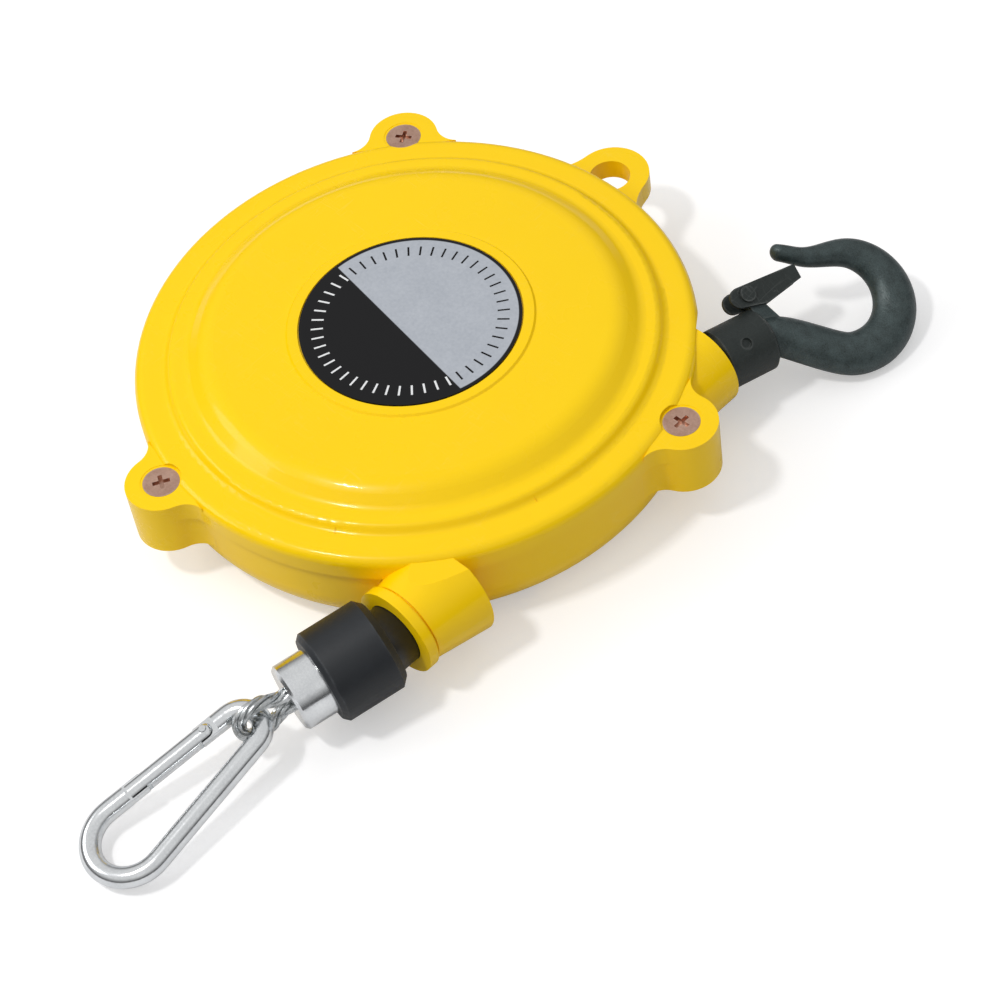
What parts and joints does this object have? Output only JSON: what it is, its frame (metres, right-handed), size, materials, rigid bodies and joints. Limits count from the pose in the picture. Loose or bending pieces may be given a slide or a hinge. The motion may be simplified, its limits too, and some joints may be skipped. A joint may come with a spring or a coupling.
{
  "type": "tool balancer",
  "caption": "Spring balancer for hand tools: round yellow case with coiled steel wire, swivel safety hook, rubber bumper and spring-gate carabiner.",
  "frame": {"origin": "where the drum's axis meets the flat back face of the case", "axes": "+Z out of the front cover, along the drum's axis; +Y from the wire outlet to the suspension hook"},
  "size_m": [0.1248, 0.2094, 0.0298],
  "materials": {
    "cast_yellow": "gloss",
    "label": "satin",
    "screw_copper": "satin",
    "drum_metal": "satin",
    "bronze": "satin",
    "spring_steel": "oiled",
    "steel": "satin",
    "brown_steel": "satin",
    "wire_rope": "satin",
    "black_plastic": "matt",
    "black_rubber": "satin",
    "black_steel": "satin",
    "zinc": "bright"
  },
  "bodies": {
    "case": {"back_case": "cast_yellow", "front_cover": "cast_yellow", "label_disc": "label", "case_screws": "screw_copper", "wire_guide": "black_plastic", "pawl_pin": "steel", "pawl_spring": "spring_steel"},
    "drum": {"drum": "drum_metal", "drum_bushes": "bronze", "wire_winding": "wire_rope", "spring_cover": "steel", "main_spring": "spring_steel"},
    "arbor": {"arbor": "steel", "ratchet_wheel": "steel"},
    "pawl": {"pawl": "brown_steel"},
    "wire": {"wire_lead": "wire_rope"},
    "wire_end": {"wire_tail": "wire_rope", "rubber_bumper": "black_rubber", "ferrule": "zinc", "rope_eye": "wire_rope"},
    "carabiner": {"carabiner_body": "zinc", "gate_pin": "zinc"},
    "gate": {"carabiner_gate": "zinc"},
    "stem": {"hook_stem": "steel"},
    "hook": {"swivel_collar": "black_steel", "collar_pin": "black_steel", "hook": "black_steel", "latch_rivet": "black_steel"},
    "latch": {"hook_latch": "black_steel"}
  },
  "joints": [
    {"name": "wire_pull", "type": "slide", "parent": "case", "child": "wire", "axis": [0, -1, 0], "range_m": [0, 1], "stiffness_N_per_m": 9.8, "springref_m": -0.5, "deforming": ["wire_lead"]},
    {"name": "drum_spin", "type": "hinge", "parent": "case", "child": "drum", "pos_m": [0, 0, 0.0125], "axis": [0, 0, 1], "range_deg": [-1304, 1]},
    {"name": "tension_adjust", "type": "hinge", "parent": "case", "child": "arbor", "pos_m": [0, 0, 0], "axis": [0, 0, 1], "range_deg": [0, 180]},
    {"name": "pawl_lift", "type": "hinge", "parent": "case", "child": "pawl", "pos_m": [0.02051, -0.009, 0], "axis": [0, 0, 1], "range_deg": [-12, 0], "stiffness_Nm_per_rad": 0.02, "springref_deg": 17.19, "deforming": ["pawl_spring"]},
    {"name": "wire_lean", "type": "hinge", "parent": "wire", "child": "wire_end", "pos_m": [0.044, -0.0503, 0.0128], "axis": [0, 0, 1], "range_deg": [0, 29.4]},
    {"name": "carabiner_swing", "type": "hinge", "parent": "wire_end", "child": "carabiner", "pos_m": [0.03625, -0.07985, 0.0098], "axis": [0.9675, -0.25, -0.0377], "range_deg": [-95, 95]},
    {"name": "gate_open", "type": "hinge", "parent": "carabiner", "child": "gate", "pos_m": [0.02967, -0.08848, 0.00807], "axis": [-0.0106, -0.1888, 0.982], "range_deg": [0, 26], "stiffness_Nm_per_rad": 0.02, "springref_deg": -17.19},
    {"name": "hook_tilt", "type": "hinge", "parent": "case", "child": "stem", "pos_m": [0.044, 0.0336, 0.0128], "axis": [0.9763, -0.2164, 0], "range_deg": [0, 12]},
    {"name": "hook_swivel", "type": "hinge", "parent": "stem", "child": "hook", "pos_m": [0.044, 0.0336, 0.0128], "axis": [0.2156, 0.9726, -0.0872], "continuous": true},
    {"name": "latch_open", "type": "hinge", "parent": "hook", "child": "latch", "pos_m": [0.04064, 0.05449, 0.01616], "axis": [0.5475, -0.0465, 0.8355], "range_deg": [-32, 0], "stiffness_Nm_per_rad": 0.02, "springref_deg": 17.19}
  ],
  "couplings": [
    {"joint": "drum_spin", "follows": "wire_pull", "rad_per_m": -22.727}
  ]
}
